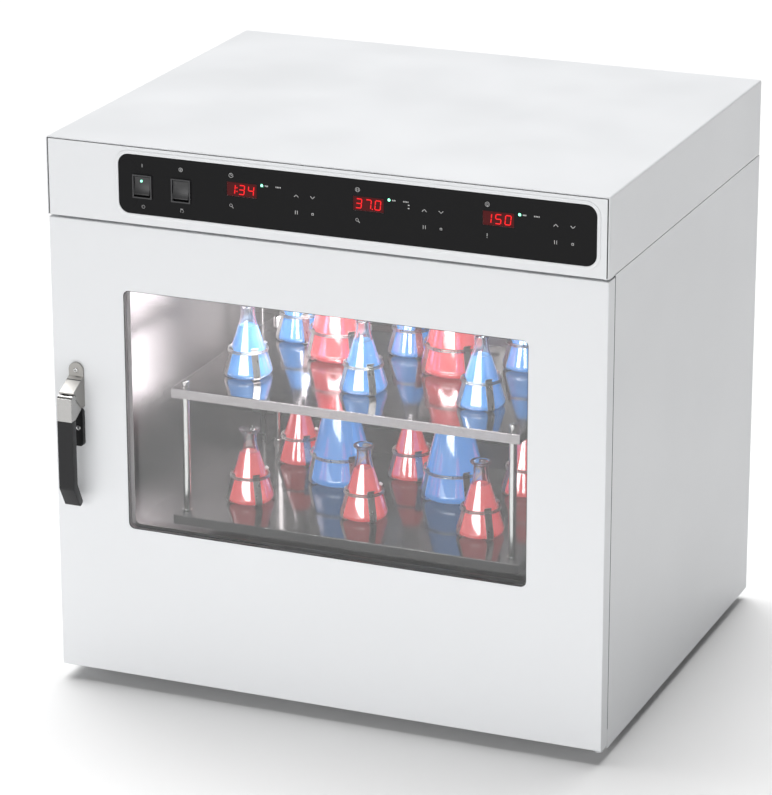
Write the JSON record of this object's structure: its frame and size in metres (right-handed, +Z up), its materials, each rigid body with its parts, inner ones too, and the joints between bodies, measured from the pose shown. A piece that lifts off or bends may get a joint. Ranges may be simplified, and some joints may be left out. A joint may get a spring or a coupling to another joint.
{
  "type": "incubated benchtop shaker",
  "caption": "Heated benchtop cabinet with a glazed side-hinged door, in which stacked platforms carry clamped flasks on a belt-driven orbital drive under a hood with controls.",
  "frame": {"origin": "on the bench, at the middle of the bounding box's base", "axes": "+X to the right as seen from the front, +Y from the door to the rear, +Z up"},
  "size_m": [0.704, 0.607, 0.6933],
  "materials": {
    "zinc_steel": "zinc plated",
    "foot_rubber": "matt",
    "white_paint": "satin powder coat",
    "hood_paint": "satin powder coat",
    "film_black": "glossy black film",
    "display_red": "dark red display window",
    "lamp_green": "lit indicator",
    "board_green": "solder mask",
    "switch_black": "fine matt",
    "polished_steel": "polished",
    "wool_board": "mineral wool board",
    "stainless": "bright brushed",
    "motor_black": "satin",
    "shaft_steel": "ground",
    "lamp_white": "opal diffuser",
    "cast_iron_grey": "machined",
    "belt_rubber": "ribbed",
    "inlet_black": "matt",
    "hinge_bronze": "sintered",
    "window_glass": "clear",
    "spacer_dark": "matt",
    "seal_rubber": "silicone",
    "cast_silver": "satin cast",
    "grip_black": "satin",
    "alloy": "machined",
    "spring_steel": "bright",
    "flask_glass": "clear borosilicate",
    "red_liquid": "liquid",
    "blue_liquid": "liquid"
  },
  "bodies": {
    "cabinet": {"base_pan": "zinc_steel", "feet": "foot_rubber", "left_side_panel": "white_paint", "right_side_panel": "white_paint", "rear_panel": "white_paint", "front_frame": "white_paint", "cover_screws": "zinc_steel", "hood_cover": "hood_paint", "hood_fascia": "hood_paint", "control_film": "film_black", "display_modules": "display_red", "indicator_leds": "lamp_green", "control_board": "board_green", "rocker_bezels": "switch_black", "hinge_brackets": "zinc_steel", "chamber_liner": "polished_steel", "chamber_insulation": "wool_board", "air_baffle": "stainless", "fan_motor": "motor_black", "heater_element": "shaft_steel", "temperature_probe": "stainless", "chamber_lamp": "lamp_white", "drive_deck": "zinc_steel", "shaft_housings": "cast_iron_grey", "ball_bearings": "shaft_steel", "drive_motor": "motor_black", "drive_belt": "belt_rubber", "power_inlet": "inlet_black"},
    "door": {"door_outer_skin": "white_paint", "door_inner_skin": "stainless", "door_insulation": "wool_board", "hinge_bushes": "hinge_bronze", "window_panes": "window_glass", "window_spacer": "spacer_dark", "door_gasket": "seal_rubber", "latch_bracket": "cast_silver", "latch_base": "grip_black", "latch_screws": "zinc_steel"},
    "latch": {"latch_lever": "cast_silver", "latch_grip": "grip_black"},
    "power_switch": {"power_rocker": "switch_black"},
    "light_switch": {"light_rocker": "switch_black"},
    "crank": {"drive_crank": "shaft_steel", "crank_pulley": "alloy", "counterweight": "cast_iron_grey"},
    "left_idler": {"idler_crank_left": "shaft_steel"},
    "right_idler": {"idler_crank_right": "shaft_steel"},
    "carriage": {"carriage_frame": "alloy", "lower_platform": "polished_steel", "upper_platform": "polished_steel", "platform_posts": "polished_steel", "post_nuts": "zinc_steel", "flask_clamps": "spring_steel", "small_flasks": "flask_glass", "large_flasks": "flask_glass", "red_media": "red_liquid", "blue_media": "blue_liquid"},
    "motor_drive": {"motor_pulley": "alloy"},
    "fan": {"fan_wheel": "alloy"}
  },
  "joints": [
    {"name": "door_swing", "type": "hinge", "parent": "cabinet", "child": "door", "pos_m": [0.346, -0.2595, 0], "axis": [0, 0, 1], "range_deg": [0, 115]},
    {"name": "latch_lift", "type": "hinge", "parent": "door", "child": "latch", "pos_m": [-0.321, -0.29684, 0.3769], "axis": [-1, 0, 0], "range_deg": [0, 32], "stiffness_Nm_per_rad": 0.25, "springref_deg": -8.59},
    {"name": "power_rock", "type": "hinge", "parent": "cabinet", "child": "power_switch", "pos_m": [-0.2264, -0.2615, 0.6444], "axis": [1, 0, 0], "range_deg": [0, 16]},
    {"name": "light_rock", "type": "hinge", "parent": "cabinet", "child": "light_switch", "pos_m": [-0.1765, -0.2615, 0.6444], "axis": [1, 0, 0], "range_deg": [0, 16]},
    {"name": "crank_spin", "type": "hinge", "parent": "cabinet", "child": "crank", "pos_m": [0, 0.0095, 0.18], "axis": [0, 0, 1], "continuous": true},
    {"name": "carriage_counter", "type": "hinge", "parent": "crank", "child": "carriage", "pos_m": [0, -0.0055, 0.188], "axis": [0, 0, 1], "continuous": true},
    {"name": "left_idler_spin", "type": "hinge", "parent": "cabinet", "child": "left_idler", "pos_m": [-0.14, -0.1105, 0.18], "axis": [0, 0, 1], "continuous": true},
    {"name": "right_idler_spin", "type": "hinge", "parent": "cabinet", "child": "right_idler", "pos_m": [0.14, -0.1105, 0.18], "axis": [0, 0, 1], "continuous": true},
    {"name": "motor_spin", "type": "hinge", "parent": "cabinet", "child": "motor_drive", "pos_m": [-0.17, 0.0295, 0.066], "axis": [0, 0, 1], "continuous": true},
    {"name": "fan_spin", "type": "hinge", "parent": "cabinet", "child": "fan", "pos_m": [0, 0.2195, 0.4114], "axis": [0, 1, 0], "continuous": true}
  ],
  "couplings": [
    {"joint": "carriage_counter", "follows": "crank_spin", "ratio": -1},
    {"joint": "left_idler_spin", "follows": "crank_spin", "ratio": 1},
    {"joint": "right_idler_spin", "follows": "crank_spin", "ratio": 1},
    {"joint": "motor_spin", "follows": "crank_spin", "ratio": 3.1818}
  ]
}
